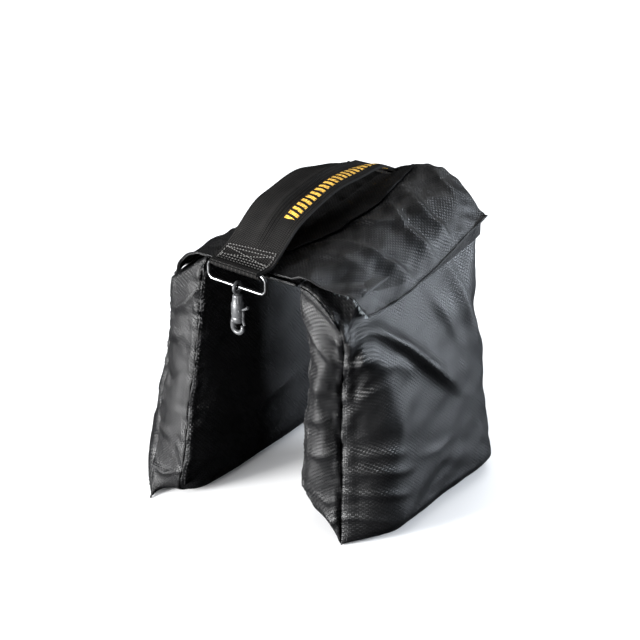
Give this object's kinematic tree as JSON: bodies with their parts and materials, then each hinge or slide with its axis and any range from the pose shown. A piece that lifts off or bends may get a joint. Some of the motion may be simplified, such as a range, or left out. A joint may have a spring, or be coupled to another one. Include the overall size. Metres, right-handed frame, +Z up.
{
  "type": "saddle sandbag",
  "caption": "Black nylon saddle sandbag with two boxed sand-filled legs, closure flaps, a webbing carry handle and a swivel snap hook on a wire ring.",
  "frame": {"origin": "on the floor, under the middle of the whole bag's box", "axes": "+Z up, +X to the bag's right, -Y to its front, where the ring and snap hook hang"},
  "size_m": [0.2216, 0.2094, 0.2474],
  "materials": {
    "nylon": "matte",
    "dark_panel": "matte",
    "webbing": "matte",
    "hook_and_loop": "matte",
    "liner": "satin",
    "sand": "matte",
    "tie": "satin",
    "wire": "polished",
    "snap_metal": "satin",
    "spring_steel": "satin"
  },
  "bodies": {
    "saddle": {"saddle_panel": "nylon", "centre_panel": "dark_panel", "front_handle_tab": "webbing", "rear_handle_tab": "webbing", "ring_loop": "webbing"},
    "handle": {"handle_webbing": "webbing"},
    "right_leg": {"right_outer_panel": "nylon", "right_inner_panel": "nylon", "right_gusset": "nylon", "right_shoulder_panel": "nylon", "right_loop_strip": "hook_and_loop", "right_liner_bag": "liner", "right_sand_fill": "sand", "right_liner_tie": "tie"},
    "left_leg": {"left_outer_panel": "nylon", "left_inner_panel": "nylon", "left_gusset": "nylon", "left_shoulder_panel": "nylon", "left_loop_strip": "hook_and_loop", "left_liner_bag": "liner", "left_sand_fill": "sand", "left_liner_tie": "tie"},
    "right_flap": {"right_flap": "nylon", "right_hook_strip": "hook_and_loop"},
    "left_flap": {"left_flap": "nylon", "left_hook_strip": "hook_and_loop"},
    "ring": {"front_ring": "wire"},
    "eye": {"snap_eye": "snap_metal"},
    "snap": {"snap_body": "snap_metal", "gate_pin": "wire", "gate_spring": "spring_steel"},
    "gate": {"snap_gate": "snap_metal"}
  },
  "joints": [
    {"name": "handle_tilt", "type": "hinge", "parent": "saddle", "child": "handle", "pos_m": [-0.00188, -0.07629, 0.2063], "axis": [0, 0.9936, 0.1129], "range_deg": [-12, 12], "stiffness_Nm_per_rad": 0.15},
    {"name": "right_leg_spread", "type": "hinge", "parent": "saddle", "child": "right_leg", "pos_m": [0.04612, -0.07629, 0.205], "axis": [0, -0.9936, -0.1129], "range_deg": [-6, 50]},
    {"name": "left_leg_spread", "type": "hinge", "parent": "saddle", "child": "left_leg", "pos_m": [-0.03788, -0.07629, 0.205], "axis": [0, 0.9936, 0.1129], "range_deg": [-6, 50]},
    {"name": "right_flap_open", "type": "hinge", "parent": "right_leg", "child": "right_flap", "pos_m": [0.06612, -0.07629, 0.20505], "axis": [0, -0.995, -0.0997], "range_deg": [0, 60]},
    {"name": "left_flap_open", "type": "hinge", "parent": "left_leg", "child": "left_flap", "pos_m": [-0.05788, -0.07629, 0.20505], "axis": [0, 0.995, 0.0997], "range_deg": [0, 60]},
    {"name": "ring_swing", "type": "hinge", "parent": "saddle", "child": "ring", "pos_m": [-0.00188, -0.08479, 0.2068], "axis": [-1, 0, 0], "range_deg": [-35, 110]},
    {"name": "eye_swing", "type": "hinge", "parent": "ring", "child": "eye", "pos_m": [-0.00188, -0.08479, 0.1928], "axis": [-1, 0, 0], "range_deg": [-40, 60]},
    {"name": "snap_swivel", "type": "hinge", "parent": "eye", "child": "snap", "pos_m": [-0.00188, -0.08479, 0.18625], "axis": [0, 0, 1], "continuous": true},
    {"name": "gate_open", "type": "hinge", "parent": "snap", "child": "gate", "pos_m": [0.00132, -0.08479, 0.17475], "axis": [0, 1, 0], "range_deg": [0, 20], "stiffness_Nm_per_rad": 0.02, "springref_deg": -20.05}
  ]
}
